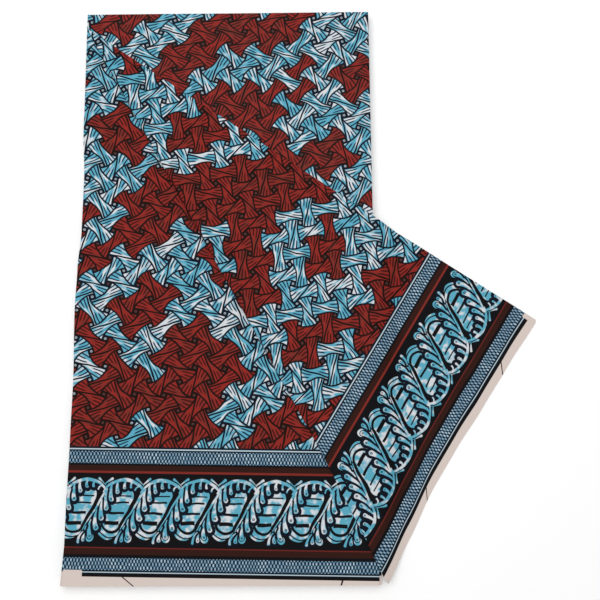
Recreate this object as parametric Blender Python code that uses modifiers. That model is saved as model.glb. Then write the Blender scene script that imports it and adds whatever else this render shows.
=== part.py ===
"""A folded length of printed cotton cloth with one corner of its top layer turned back.

The cloth is folded in half lengthwise, so one long fold is the pile's far edge and both
selvedges are its near edge, and then crosswise into panels as wide as the pile. The lower
left corner of the topmost layer is turned back over a diagonal fold. It crosses the pile's
right edge and lies on the table beyond it.

Plan positions are measured from the pile's near left corner: X to the right, Y towards the
long fold, Z up from the table. The finished pieces are then moved so that the middle of
their common base is the origin.
"""

from collections import namedtuple
import math

import bmesh
import bpy
from mathutils import Vector

COLLECTION_NAME = "folded_printed_cloth"

# The pile
PILE_WIDTH = 0.300
PILE_LENGTH = 0.585
HIDDEN_HEIGHT = 0.0075
HIDDEN_RIDGES = 8
RIDGE_DEPTH = 0.0006
PILE_CORNER_RADIUS = 0.0025
WALL = 0.001
SEAM_GAP = 0.0003
HIDDEN_INSET = 0.0008

# The folds at the topmost layer's far and right edges, and the tightest that a wall makes
TIGHT_RADIUS = (WALL + SEAM_GAP) / 2
LIP_RADIUS = 0.0015
LOWER_LAYER_INSET = 0.0018

# The diagonal fold, from the pile's left edge to just past its near right corner
FOLD_START = Vector((0.0, 0.568))
FOLD_END = Vector((0.307, 0.0))
FLAP_FAR_CORNER = Vector((0.464, 0.252))
FLAP_TIP_WIDTH = 0.0015
ROLL_SETTLE_LENGTH = 0.024
FLAP_DROP_RUN = 0.030
FLAP_FIRST_X = 0.003

# How finely each piece is divided, and the bend past which an edge shows as sharp
SHARP_ANGLE = math.radians(40)
SIDE_STEPS = 14
CORNER_STEPS = 4
RIDGE_STEPS = 4
LIP_STEPS = 4
ROLL_STEPS = 6
FLAP_COLUMNS = 17
FLAP_DROP_COLUMNS = 9
FLAP_ROWS = 13
FLAP_ROW_CROWDING = 1.6
LAYER_ROWS = 18
LOWER_LAYER_COLUMNS = 12

EdgeStation = namedtuple("EdgeStation", "place shift")
FoldStation = namedtuple("FoldStation", "share radius shift")
Finish = namedtuple("Finish", "colour roughness")

# The cut end at the left: place is the height up the pile, shift is how far in it lies
LEFT_EDGE = [
    EdgeStation(0.000, -0.0007),
    EdgeStation(0.066, -0.0006),
    EdgeStation(0.140, 0.0005),
    EdgeStation(0.195, 0.0012),
    EdgeStation(0.267, -0.0004),
    EdgeStation(0.307, 0.0006),
    EdgeStation(0.347, 0.0032),
    EdgeStation(0.401, 0.0035),
    EdgeStation(0.458, 0.0008),
    EdgeStation(0.585, 0.0000),
]

# The hidden layers stand out at the near left corner and keep inside the top layers above it
HIDDEN_LEFT_EDGE = [
    EdgeStation(0.000, -0.0034),
    EdgeStation(0.014, -0.0032),
    EdgeStation(0.034, -0.0006),
    EdgeStation(0.060, 0.0000),
    EdgeStation(0.585, 0.0000),
]

# The diagonal fold: share of its length, radius of its soft roll, and bow towards the flap
DIAGONAL_FOLD = [
    FoldStation(0.00, 0.0008, 0.0000),
    FoldStation(0.12, 0.0022, 0.0008),
    FoldStation(0.40, 0.0026, 0.0022),
    FoldStation(0.62, 0.0020, 0.0036),
    FoldStation(0.78, 0.0010, 0.0045),
    FoldStation(0.90, TIGHT_RADIUS, 0.0026),
    FoldStation(1.00, TIGHT_RADIUS, 0.0000),
]

# The flap's two free edges: place is the share of the length, shift the bow towards the fold
FLAP_CUT_END = [
    EdgeStation(0.00, 0.0000),
    EdgeStation(0.30, 0.0014),
    EdgeStation(0.63, 0.0030),
    EdgeStation(0.76, 0.0012),
    EdgeStation(1.00, 0.0000),
]
FLAP_SELVEDGE = [
    EdgeStation(0.00, 0.0000),
    EdgeStation(0.14, 0.0022),
    EdgeStation(0.30, 0.0064),
    EdgeStation(0.46, 0.0060),
    EdgeStation(0.62, 0.0038),
    EdgeStation(0.80, 0.0026),
    EdgeStation(1.00, 0.0000),
]

FINISHES = {
    "folded_layers": Finish((0.30, 0.10, 0.08, 1.0), 0.85),
    "lower_layer": Finish((0.34, 0.06, 0.05, 1.0), 0.70),
    "upper_layer": Finish((0.31, 0.07, 0.06, 1.0), 0.75),
    "turned_flap": Finish((0.16, 0.26, 0.32, 1.0), 0.70),
}

LOWER_LAYER_Z = HIDDEN_HEIGHT + SEAM_GAP + WALL / 2
UPPER_LAYER_Z = LOWER_LAYER_Z + WALL + SEAM_GAP
FLAP_Z = UPPER_LAYER_Z + WALL + SEAM_GAP
TABLE_Z = WALL / 2

FOLD_LENGTH = (FOLD_END - FOLD_START).length
FOLD_ALONG = (FOLD_END - FOLD_START).normalized()
FOLD_ACROSS = Vector((-FOLD_ALONG.y, FOLD_ALONG.x))
UPPER_FLAT_RIGHT = PILE_WIDTH - WALL / 2 - LIP_RADIUS
UPPER_FLAT_FAR = PILE_LENGTH - WALL / 2 - LIP_RADIUS
FOLD_LAST_X = UPPER_FLAT_RIGHT - FOLD_ACROSS.x * (TIGHT_RADIUS + SEAM_GAP)


def smooth(share):
    """Ease from 0 to 1 with level ends."""
    share = min(max(share, 0.0), 1.0)
    return share * share * (3.0 - 2.0 * share)


def read_table(table, place, column):
    """Read a column of a table at a place, easing from each row to the next."""
    if place <= table[0][0]:
        return getattr(table[0], column)
    for low, high in zip(table, table[1:]):
        if place <= high[0]:
            share = smooth((place - low[0]) / (high[0] - low[0]))
            first = getattr(low, column)
            return first + (getattr(high, column) - first) * share
    return getattr(table[-1], column)


def spaced(low, high, steps):
    """Even places from low to high, both ends included."""
    return [low + (high - low) * step / steps for step in range(steps + 1)]


def direction(degrees):
    """A unit vector on the table, turned from +X."""
    return Vector((math.cos(math.radians(degrees)), math.sin(math.radians(degrees))))


def left_edge_x(y):
    """Where the cloth's cut end lies at a height up the pile."""
    return read_table(LEFT_EDGE, y, "shift")


def hidden_left_x(y):
    """The left side of the hidden layers, inside the cut end but for the near corner."""
    return left_edge_x(y) + HIDDEN_INSET + read_table(HIDDEN_LEFT_EDGE, y, "shift")


def fold_share(x):
    """The share of the diagonal fold's length that lies above a place along X."""
    return min(max((x - FOLD_START.x) / (FOLD_END.x - FOLD_START.x), 0.0), 1.0)


def fold_point(share):
    """A point of the diagonal fold's nose, seen from above."""
    bow = read_table(DIAGONAL_FOLD, share, "shift")
    return FOLD_START + FOLD_ALONG * (share * FOLD_LENGTH) + FOLD_ACROSS * bow


def seam_point(share):
    """Where the topmost layer ends, one seam's gap from the lower end of the fold's roll."""
    radius = read_table(DIAGONAL_FOLD, share, "radius")
    return fold_point(share) + FOLD_ACROSS * (radius + SEAM_GAP)


def fold_places():
    """Places along X over the pile where strips meet the diagonal fold."""
    return spaced(FLAP_FIRST_X, FOLD_LAST_X, FLAP_COLUMNS)


def bowed_edge_y(x, start, end, table, side):
    """Height of a flap edge that runs from start to end, bowed to one side by its table."""
    share = (x - start.x) / (end.x - start.x)
    bow = read_table(table, share, "shift") / abs((end - start).normalized().x)
    return start.y + (end.y - start.y) * share + side * bow


def cut_end_y(x):
    """The flap's cut end, its far edge."""
    return bowed_edge_y(x, FOLD_START, FLAP_FAR_CORNER, FLAP_CUT_END, -1.0)


def selvedge_y(x):
    """The flap's selvedge, its near edge past the diagonal fold."""
    return bowed_edge_y(x, FOLD_END, FLAP_FAR_CORNER, FLAP_SELVEDGE, 1.0)


def drop_to_table(height, x):
    """Lower a height on the flap where it leaves the pile and comes down to the table."""
    share = smooth((x - PILE_WIDTH) / FLAP_DROP_RUN)
    return height + (TABLE_Z - height) * share


def make_material(name):
    """A matt cloth finish in the main colour of a piece."""
    finish = FINISHES[name]
    material = bpy.data.materials.new(name)
    material.use_nodes = True
    shader = material.node_tree.nodes["Principled BSDF"]
    shader.inputs["Base Color"].default_value = finish.colour
    shader.inputs["Roughness"].default_value = finish.roughness
    shader.inputs["Metallic"].default_value = 0.0
    material.diffuse_color = finish.colour
    return material


def add_object(name, mesh, collection):
    """Place a mesh in the collection under a piece's name and material."""
    piece = bpy.data.objects.new(name, mesh)
    collection.objects.link(piece)
    mesh.materials.append(make_material(name))
    mesh.shade_smooth()
    mesh.set_sharp_from_angle(angle=SHARP_ANGLE)
    return piece


def join_rings(surface, rings, closed):
    """Fill the quads between rings of vertices, first to last."""
    for low, high in zip(rings, rings[1:]):
        count = len(low) if closed else len(low) - 1
        for index in range(count):
            after = (index + 1) % len(low)
            surface.faces.new((low[index], low[after], high[after], high[index]))


def add_layer(name, strips, collection):
    """One layer of cloth: an open surface through strips of points, given its thickness."""
    mesh = bpy.data.meshes.new(name)
    surface = bmesh.new()
    rings = [[surface.verts.new(point) for point in strip] for strip in strips]
    join_rings(surface, rings, closed=False)
    bmesh.ops.recalc_face_normals(surface, faces=surface.faces[:])
    surface.to_mesh(mesh)
    surface.free()
    piece = add_object(name, mesh, collection)
    wall = piece.modifiers.new("wall", "SOLIDIFY")
    wall.thickness = WALL
    wall.offset = 0.0
    return piece


def pile_outline():
    """The hidden layers' plan: points with outward directions, anticlockwise from the near side."""
    radius = PILE_CORNER_RADIUS
    right = PILE_WIDTH - HIDDEN_INSET - RIDGE_DEPTH
    near = HIDDEN_INSET + RIDGE_DEPTH
    far = PILE_LENGTH - HIDDEN_INSET - RIDGE_DEPTH
    near_left = hidden_left_x(near)
    far_left = hidden_left_x(far)
    corners = [
        (Vector((right - radius, near + radius)), -90.0),
        (Vector((right - radius, far - radius)), 0.0),
        (Vector((far_left + radius, far - radius)), 90.0),
        (Vector((near_left + radius, near + radius)), 180.0),
    ]
    outline = []
    for index, (centre, first_angle) in enumerate(corners):
        for turn in spaced(first_angle, first_angle + 90.0, CORNER_STEPS):
            outward = direction(turn)
            outline.append((centre + outward * radius, outward))
        next_centre = corners[(index + 1) % len(corners)][0]
        faces_left = index == 2
        for share in spaced(0.0, 1.0, SIDE_STEPS)[1:-1]:
            point = centre.lerp(next_centre, share) + outward * radius
            if faces_left:
                point.x = hidden_left_x(point.y)
            outline.append((point, outward))
    return outline


def ridge_swell(height, x):
    """How far a folded edge stands out: the left and right sides' ridges alternate."""
    pitch = HIDDEN_HEIGHT / HIDDEN_RIDGES
    stagger = 0.5 * x / PILE_WIDTH
    return RIDGE_DEPTH * abs(math.sin(math.pi * (height / pitch + stagger)))


def add_hidden_layers(collection):
    """All layers under the top two: one solid with a ridge for each fold round its sides."""
    mesh = bpy.data.meshes.new("folded_layers")
    solid = bmesh.new()
    outline = pile_outline()
    rings = []
    for height in spaced(0.0, HIDDEN_HEIGHT, HIDDEN_RIDGES * RIDGE_STEPS):
        ring = []
        for point, outward in outline:
            place = point + outward * ridge_swell(height, point.x)
            ring.append(solid.verts.new((place.x, place.y, height)))
        rings.append(ring)
    join_rings(solid, rings, closed=True)
    solid.faces.new(list(reversed(rings[0])))
    solid.faces.new(rings[-1])
    bmesh.ops.recalc_face_normals(solid, faces=solid.faces[:])
    solid.to_mesh(mesh)
    solid.free()
    return add_object("folded_layers", mesh, collection)


def add_lower_layer(collection):
    """The layer under the topmost one, flat from the selvedge to just inside the long fold."""
    right = PILE_WIDTH - LOWER_LAYER_INSET
    strips = []
    for across in spaced(0.0, 1.0, LOWER_LAYER_COLUMNS):
        strip = []
        for y in spaced(0.0, PILE_LENGTH - LOWER_LAYER_INSET, LAYER_ROWS):
            left = left_edge_x(y)
            strip.append((left + (right - left) * across, y, LOWER_LAYER_Z))
        strips.append(strip)
    return add_layer("lower_layer", strips, collection)


def rounded_lip(over_x, over_y):
    """The topmost layer's edge, turned down: shares past the flat part to a place and a drop."""
    radius = LIP_RADIUS
    arc_x = math.sin(over_x * math.pi / 2)
    arc_y = math.sin(over_y * math.pi / 2)
    out_x = arc_x * math.sqrt(1.0 - arc_y * arc_y / 2.0)
    out_y = arc_y * math.sqrt(1.0 - arc_x * arc_x / 2.0)
    level = math.sqrt(max(0.0, 1.0 - out_x * out_x - out_y * out_y))
    return radius * out_x, radius * out_y, radius * (1.0 - level)


def add_upper_layer(collection):
    """The topmost layer right of the diagonal fold, turned down at its far and right edges."""
    columns = [(Vector((0.0, seam_point(0.0).y)), 0.0)]
    columns += [(seam_point(fold_share(x)), 0.0) for x in fold_places()]
    columns += [(columns[-1][0], over) for over in spaced(0.0, 1.0, LIP_STEPS)[1:]]
    rows = [(share, 0.0) for share in spaced(0.0, 1.0, LAYER_ROWS)]
    rows += [(1.0, over) for over in spaced(0.0, 1.0, LIP_STEPS)[1:]]
    strips = []
    for start, over_x in columns:
        strip = []
        for share, over_y in rows:
            flat_y = start.y + (UPPER_FLAT_FAR - start.y) * share
            left = left_edge_x(flat_y) if start.x == 0.0 else 0.0
            out_x, out_y, drop = rounded_lip(over_x, over_y)
            strip.append((start.x + left + out_x, flat_y + out_y, UPPER_LAYER_Z - drop))
        strips.append(strip)
    return add_layer("upper_layer", strips, collection)


def roll_height(radius, distance):
    """Height of the flap past the top of the fold's roll, settling onto the layer below."""
    settled = FLAP_Z - UPPER_LAYER_Z
    share = smooth(distance / ROLL_SETTLE_LENGTH)
    return UPPER_LAYER_Z + 2.0 * radius + (settled - 2.0 * radius) * share


def flap_columns():
    """Places along X of the flap's strips, closest where it comes down to the table."""
    table_from = PILE_WIDTH + FLAP_DROP_RUN
    coming_down = spaced(FOLD_LAST_X, table_from, FLAP_DROP_COLUMNS)
    on_table = spaced(table_from, FLAP_FAR_CORNER.x - FLAP_TIP_WIDTH, FLAP_DROP_COLUMNS)
    return fold_places() + coming_down[1:] + on_table[1:]


def add_turned_flap(collection):
    """The turned corner: a soft roll along the fold, then over the pile and down to the table."""
    strips = []
    for x in flap_columns():
        share = fold_share(x)
        nose = fold_point(share)
        radius = read_table(DIAGONAL_FOLD, share, "radius")
        on_fold = x < FOLD_END.x
        strip = []
        for step in range(ROLL_STEPS):
            turn = math.radians(-90.0 + 180.0 * step / ROLL_STEPS)
            inward = radius * (1.0 - math.cos(turn))
            height = UPPER_LAYER_Z + radius * (1.0 + math.sin(turn))
            if on_fold:
                place = nose + FOLD_ACROSS * inward
            else:
                place = Vector((x, selvedge_y(x) + radius * step / ROLL_STEPS))
                height = FLAP_Z
            strip.append((place.x, place.y, drop_to_table(height, place.x)))
        start = nose + FOLD_ACROSS * radius if on_fold else Vector((x, selvedge_y(x) + radius))
        for row in range(FLAP_ROWS + 1):
            along = (row / FLAP_ROWS) ** FLAP_ROW_CROWDING
            y = start.y + (cut_end_y(start.x) - start.y) * along
            height = roll_height(radius, (y - start.y) * FOLD_ACROSS.y) if on_fold else FLAP_Z
            strip.append((start.x, y, drop_to_table(height, start.x)))
        strips.append(strip)
    return add_layer("turned_flap", strips, collection)


def centre_on_base(pieces):
    """Move the pieces together so that the middle of their common base is the origin."""
    bpy.context.view_layer.update()
    graph = bpy.context.evaluated_depsgraph_get()
    corners = [Vector(corner) for piece in pieces for corner in piece.evaluated_get(graph).bound_box]
    low = Vector([min(corner[axis] for corner in corners) for axis in range(3)])
    high = Vector([max(corner[axis] for corner in corners) for axis in range(3)])
    middle = Vector(((low.x + high.x) / 2, (low.y + high.y) / 2, 0.0))
    for piece in pieces:
        piece.location = -middle


def main():
    """Clear the scene and build the four pieces of the pile."""
    for leftover in list(bpy.data.objects):
        bpy.data.objects.remove(leftover, do_unlink=True)
    collection = bpy.data.collections.new(COLLECTION_NAME)
    bpy.context.scene.collection.children.link(collection)
    pieces = [
        add_hidden_layers(collection),
        add_lower_layer(collection),
        add_upper_layer(collection),
        add_turned_flap(collection),
    ]
    centre_on_base(pieces)


main()
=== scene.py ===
"""The finish of a folded length of printed cotton cloth, one corner turned back.

The topmost two layers, the turned corner and the hidden layers below them are thin cloth on
the solids of the frame. They share one print, drawn by shader maths in the cloth's own flat
coordinates: metres along the length, and metres across from the first selvedge.
"""

from collections import namedtuple
import math

import bpy
from bpy.props import FloatProperty, FloatVectorProperty, IntProperty, PointerProperty
from mathutils import Euler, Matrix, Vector
from mathutils import noise


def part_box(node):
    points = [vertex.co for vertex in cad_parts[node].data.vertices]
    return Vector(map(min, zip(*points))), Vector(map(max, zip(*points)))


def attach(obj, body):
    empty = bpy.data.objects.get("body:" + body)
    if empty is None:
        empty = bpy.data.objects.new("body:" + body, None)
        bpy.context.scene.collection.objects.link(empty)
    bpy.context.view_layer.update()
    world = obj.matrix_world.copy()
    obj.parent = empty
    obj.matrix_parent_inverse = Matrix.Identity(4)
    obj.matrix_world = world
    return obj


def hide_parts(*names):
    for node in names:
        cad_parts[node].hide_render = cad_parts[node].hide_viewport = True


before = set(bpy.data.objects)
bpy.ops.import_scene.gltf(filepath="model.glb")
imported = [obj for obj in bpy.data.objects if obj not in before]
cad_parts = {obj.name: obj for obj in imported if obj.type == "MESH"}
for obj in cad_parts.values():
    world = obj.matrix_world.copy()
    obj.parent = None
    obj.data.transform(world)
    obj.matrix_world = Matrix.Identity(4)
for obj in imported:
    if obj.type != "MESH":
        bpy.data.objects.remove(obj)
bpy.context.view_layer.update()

bl_info = {
    "name": "Folded Printed Cotton",
    "version": (1, 0, 0),
    "blender": (4, 5, 0),
    "location": "3D View > Sidebar > Cloth",
    "description": "Builds a folded length of printed cotton cloth with one corner turned back",
    "category": "Add Mesh",
}

CLOTH_MAP = "cloth"
BAKE_MAP = "OFBake"
MILLIMETRE = 0.001

# The cloth's full width, and the pile in plan from its near left corner: X runs along the
# cloth's length and Y from the selvedges to the long fold
CLOTH_WIDTH = 1.17
PILE_WIDTH = 0.300
PILE_LENGTH = 0.585
LOWER_LAYER_INSET = 0.0018
LOWER_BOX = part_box("lower_layer")
CORNER = Vector((LOWER_BOX[1].x - PILE_WIDTH + LOWER_LAYER_INSET, LOWER_BOX[0].y, 0.0))

# How far askew the print lies on the lower layer, and the place along X where it is true
LOWER_ASKEW = 0.020
LOWER_ASKEW_FROM = 0.108

# The middle of each layer's thickness
PILE_HEIGHT = 0.0086
LOWER_LAYER_Z = 0.00928
UPPER_LAYER_Z = 0.00976
FLAP_Z = 0.0103
TABLE_Z = 0.00018
LIP_RADIUS = 0.00048
LIP_TUCK = 0.003

# The diagonal fold, the flap's far corner, and how the flap comes down to the table
FOLD_START = Vector((0.0, 0.568))
FOLD_END = Vector((0.307, 0.0))
FLAP_FAR_CORNER = Vector((0.464, 0.252))
FLAP_TIP_WIDTH = 0.0012
FLAP_FIRST_X = 0.0022
FLAP_DROP_RUN = 0.030
ROLL_SETTLE_LENGTH = 0.024

# Over what width the turned corner's print eases from its true scale by the selvedge into the
# field, and from the selvedge's own bow to straight lines
FIELD_EASE = 0.120
BOW_EASE = 0.070

Stripe = namedtuple("Stripe", "start ink")
Bar = namedtuple("Bar", "start end half_start half_end")
Crescent = namedtuple("Crescent", "middle radius bite bite_radius")
Drop = namedtuple("Drop", "head_out head_up tail_out tail_up radius")
Rung = namedtuple("Rung", "height half reach middle")
TieMark = namedtuple("TieMark", "place place_second lean lean_second")
EdgeStation = namedtuple("EdgeStation", "place shift")
FoldStation = namedtuple("FoldStation", "share radius shift")
Crease = namedtuple("Crease", "from_x from_y to_x to_y half_width depth")
Wave = namedtuple("Wave", "size_x size_y seed share")
Knot = namedtuple("Knot", "place flat spread")
Station = namedtuple("Station", "across height facing reach panel share")
DoubledRow = namedtuple("DoubledRow", "share side reach flat")


def rows_of(kind, *rows):
    """A table whose rows have the named columns of a kind."""
    return [kind(*row) for row in rows]


# The cut end at the left: place is the height up the pile, shift is how far in it lies
LEFT_EDGE = rows_of(
    EdgeStation,
    (0.000, -0.0007),
    (0.066, -0.0006),
    (0.140, 0.0005),
    (0.195, 0.0012),
    (0.267, -0.0004),
    (0.307, 0.0006),
    (0.347, 0.0032),
    (0.401, 0.0035),
    (0.458, 0.0008),
    (0.585, 0.0000),
)
HIDDEN_LEFT_EDGE = rows_of(
    EdgeStation,
    (0.000, -0.0034),
    (0.014, -0.0032),
    (0.034, -0.0006),
    (0.060, 0.0000),
    (0.585, 0.0000),
)
HIDDEN_RIGHT_EDGE = rows_of(
    EdgeStation,
    (0.000, 0.0026),
    (0.008, 0.0024),
    (0.026, 0.0000),
    (0.585, 0.0000),
)

# The diagonal fold: share of its length, radius of its soft roll, and bow towards the flap
DIAGONAL_FOLD = rows_of(
    FoldStation,
    (0.00, 0.0008, 0.0000),
    (0.12, 0.0022, 0.0008),
    (0.40, 0.0026, 0.0022),
    (0.62, 0.0020, 0.0036),
    (0.78, 0.0010, 0.0045),
    (0.90, 0.00065, 0.0026),
    (1.00, 0.00065, 0.0000),
)

# The flap's two free edges: place is the share of the length, shift the bow towards the fold
FLAP_CUT_END = rows_of(
    EdgeStation,
    (0.00, 0.0000),
    (0.30, 0.0014),
    (0.63, 0.0030),
    (0.76, 0.0012),
    (1.00, 0.0000),
)
FLAP_SELVEDGE = rows_of(
    EdgeStation,
    (0.00, 0.0000),
    (0.14, 0.0022),
    (0.30, 0.0064),
    (0.46, 0.0060),
    (0.62, 0.0038),
    (0.80, 0.0026),
    (1.00, 0.0000),
)

FOLD_LENGTH = (FOLD_END - FOLD_START).length
FOLD_ALONG = (FOLD_END - FOLD_START).normalized()
FOLD_ACROSS = Vector((-FOLD_ALONG.y, FOLD_ALONG.x))
UPPER_FLAT_RIGHT = PILE_WIDTH + 0.0002 - LIP_RADIUS
UPPER_FLAT_FAR = PILE_LENGTH - 0.0001 - LIP_RADIUS
FOLD_GAP = 0.001
UPPER_LAST_X = UPPER_FLAT_RIGHT - FOLD_ACROSS.x * FOLD_GAP
SELVEDGE_RUN = (FOLD_END - FLAP_FAR_CORNER).normalized()
CUT_END_RUN = (FOLD_START - FLAP_FAR_CORNER).normalized()

# How many steps each layer's grid has: along X, then up the pile or round and past the fold
LOWER_GRID = (76, 146)
UPPER_GRID = (66, 100)
LIP_STEPS = (6, 3)
FLAP_STEPS_X = (66, 14, 34)
ROLL_STEPS = 8
FLAP_ROWS = 80
FLAP_ROW_CROWDING = 1.25
LOWER_INSET = 0.0010

# The long low waves of the layers, and the soft creases that they took from handling
WAVES = rows_of(
    Wave,
    (0.11, 0.15, 0.0, 1.0),
    (0.045, 0.06, 5.0, 0.5),
)
CREASES = rows_of(
    Crease,
    (0.020, 0.300, 0.175, 0.292, 0.007, 0.00030),
    (0.090, 0.120, 0.120, 0.265, 0.006, 0.00022),
    (0.190, 0.330, 0.215, 0.560, 0.008, 0.00028),
    (0.060, 0.440, 0.285, 0.452, 0.007, 0.00026),
    (0.250, 0.200, 0.380, 0.270, 0.009, -0.00035),
    (0.030, 0.060, 0.070, 0.180, 0.005, -0.00020),
)

# Steps along each hidden panel and round each of its folds, and the skin that faces the table
PANEL_STEPS = 10
FOLD_STEPS = 5
UNDERSIDE = "face"
TOP_PANEL_START = 0.008
HIDDEN_LEFT_INSET = 0.0006
HIDDEN_RIGHT_INSET = 0.0004
HIDDEN_FAR_INSET = 0.0006

# How unevenly the hidden folds and selvedges stand out, in millimetres, from the top down
FOLD_STAGGER = [0.0, 0.7, 0.2, 1.1, 0.4, 0.9, 0.1, 1.3, 0.5, 0.3, 1.0, 0.2, 0.8, 0.6, 0.1, 0.9]
PANEL_STAGGER = [0.3, 0.9, 0.1, 0.6, 1.2, 0.4, 0.8, 0.2, 1.0, 0.5, 0.0, 0.7, 1.1, 0.3, 0.9, 0.2, 0.6]

# How softly the print's edges end, and how it sways and is blotched, in millimetres. A pair is
# the middle and the blur of a mask
EDGE = 0.3
FINE_EDGE = 0.25
SOFT_EDGE = 0.4
SWAY_SIZE = 18.0
SWAY = 2.6
BLOTCH_SIZE = 7.0
BLOTCHES = (0.455, 0.14)
THREAD_SIZE = 0.9
FACE_FINISH = {"Roughness": 0.7, "Specular IOR Level": 0.10}

# The border's stripes, in millimetres in from the selvedge's edge, each up to the next
BORDER_STRIPES = rows_of(
    Stripe,
    (7.5, "black"),
    (10.6, "navy"),
    (11.2, "net_pale"),
    (12.1, "navy"),
    (13.6, "net"),
    (24.8, "black"),
    (27.8, "brown"),
    (33.4, "low_line"),
    (34.6, "black"),
    (103.5, "line"),
    (105.6, "brown"),
    (110.8, "black"),
    (112.7, "net"),
    (124.2, "navy"),
    (125.6, "net_pale"),
    (126.8, "navy"),
)
BORDER_WIDTH = 128.6
BARE_WIDTH = 13.4
BARE_LENGTH = 18.0
BARE_LENGTH_SECOND = 5.0
NET_OVALS = (0.10, 0.35)
NET_LIGHTS = (-0.28, 0.40)
SPECK_STEPS = (1.7, 1.9)
SPECKS = (0.45, 0.4)

# The thin marks across the selvedges, two in each pitch: where each meets the edge of the first
# and of the second selvedge, and how far it leans back for each millimetre in from there
TIE_MARK_PITCH = 300.0
TIE_MARK_REACH = 7.8
TIE_MARK_HALF = 0.8
TIE_MARKS = rows_of(
    TieMark,
    (66.2, 65.8, 1.3, 1.3),
    (262.0, 210.8, -0.3, 1.3),
)

# The basket weave of the field, in steps of its lattice
FIELD_TURNS = (math.radians(46.5), math.radians(132.5))
FLOAT_HALF_LENGTH = 0.700
FLOAT_HALF_WAIST = 0.252
FLOAT_HALF_END = 0.400
FLOAT_FLARE = 0.420
FLOAT_LEAN = 0.100
FLOAT_OUTLINE = (0.043, 0.014)
FLOAT_CUT = (0.048, 0.012)
FAN_RAYS = 4.0
STROKE_START = 0.99
LONG_STROKE_START = 0.84
STROKE_TAPER = 0.26
STROKE_HALF = 0.036
STROKE_BLUR = 0.012
STREAK_SIZE = 1.3
STREAK_SQUEEZE = 1.6
RED_STREAKS = (0.56, 0.22)
BLUE_STREAKS = (0.47, 0.10)
HOLE_DOT = 0.058
HOLE_DOT_EYE = 0.0244
HOLE_BLUR = 0.02
PATCH_PITCH = 5.8
PATCH_SHIFT = (48.1, 68.9, 0.0)
PATCH_UNEVENNESS = 0.6
PATCH_RING = (1.1, 2.7)
PATCH_GAP_SIZE = 3.0
PATCH_GAP_SHARE = 0.38

# The leaf scroll of the border, in millimetres. A leaf's own axes run out to its right and up
# its slanting length, from its middle. Each repeat has one leaf and the drops on its left.
LEAF_BAND_START = 36.2
LEAF_BAND_HEIGHT = 65.2
LEAF_STRETCH = 1.05
LEAF_RAISE = 2.0
LEAF_PHASE = 7.6
LEAF_PHASE_SECOND = 26.5
LEAF_SCALE_SECOND = 0.976
LEAF_SLANT = math.radians(30)
LEAF_UP = Vector((math.sin(LEAF_SLANT), math.cos(LEAF_SLANT)))
LEAF_RIGHT = Vector((math.cos(LEAF_SLANT), -math.sin(LEAF_SLANT)))
LANE_LEFT = -19.6
BODY = Bar((4.2, -7.0), (4.2, 20.0), 8.3, 7.7)
STEM = Bar((13.3, -7.0), (13.8, 27.0), 1.2, 1.8)
VEIN = Bar((-16.2, -27.0), (-14.6, 15.0), 0.35, 1.15)
END_CRESCENT = Crescent((3.6, -8.9), 12.0, BODY.start, 10.7)
END_CRESCENT_TOP = (-8.0, 3.0)
LOW_CRESCENT = Crescent((3.4, -13.8), 10.2, END_CRESCENT.middle, 13.2)
CUP = Crescent((-6.3, -29.5), 3.6, (-7.2, -28.6), 3.0)
RIM = Crescent((6.5, 12.0), 23.6, (7.6, 9.6), 23.4)
RIM_FOOT = (11.0, 1.0)
RIM_GAP = 1.05
RIM_TIPS = rows_of(
    Bar,
    ((14.4, 35.5), (4.8, 37.6), 0.3, 1.1),
    ((-18.9, 17.7), (-15.4, 25.9), 0.3, 1.1),
    ((12.6, 35.9), (16.1, 44.1), 0.3, 1.1),
)
DROP_TIP = 0.4
DROP_BEND = 1.2
DROP_OUTLINE = 2.0
EYED_RADIUS = 1.4
EYE_RING = 0.45
EYE_DOT = 0.17
SCALLOPED = slice(1, 8)
SCALLOP_SHIFT = Vector((0.5, -0.3))
SCALLOP_MARGIN = 2.7

# Each drop's head and the run from its head to its tail, in a leaf's own axes
DROPS = rows_of(
    Drop,
    (9.4, 29.0, 2.0, 4.4, 0.9),
    (4.2, 29.2, -0.4, 5.2, 1.25),
    (-1.2, 25.6, -1.6, 7.0, 1.6),
    (-5.0, 18.8, -4.8, 10.4, 2.0),
    (-6.2, 10.2, -7.0, 12.4, 2.3),
    (-6.2, 0.8, -7.4, 13.6, 2.5),
    (-6.0, -9.0, -7.6, 14.2, 2.6),
    (-6.0, -19.2, -7.8, 13.8, 2.5),
    (-7.2, -28.6, -6.6, 13.0, 2.2),
    (-10.8, -34.2, -3.6, 11.6, 1.65),
    (-14.4, -38.4, -0.6, 10.2, 1.3),
)

# The black rungs across a leaf's body, level with the band
RUNGS = rows_of(
    Rung,
    (-9.4, 1.75, 6.9, 0.6),
    (-0.6, 1.15, 7.1, 4.9),
    (8.6, 0.85, 7.1, 9.7),
    (14.6, 0.65, 5.8, 13.4),
)

# The studio: sizes and places in metres, turns in degrees
FLOOR_SIZE = 6.0
FLOOR_Z = -0.0002
LAMP_SIZE = 1.6
LAMP_PLACE = (-0.25, 0.35, 1.5)
LAMP_TURN = (-13.0, -9.0, 0.0)
CAMERA_PLACE = (0.0017, -0.1455, 0.761)
CAMERA_TURN = (9.53, 0.47, -0.35)


def ink(red, green, blue):
    """A colour as it looks on screen, from 0 to 255, as linear light."""
    shares = [value / 255.0 for value in (red, green, blue)]
    linear = [s / 12.92 if s <= 0.04045 else ((s + 0.055) / 1.055) ** 2.4 for s in shares]
    return (linear[0], linear[1], linear[2], 1.0)


def colour_setting(name, description, red, green, blue):
    """A colour that a user can change."""
    return FloatVectorProperty(
        name=name,
        description=description,
        default=ink(red, green, blue),
        size=4,
        min=0.0,
        max=1.0,
        subtype="COLOR",
    )


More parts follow.
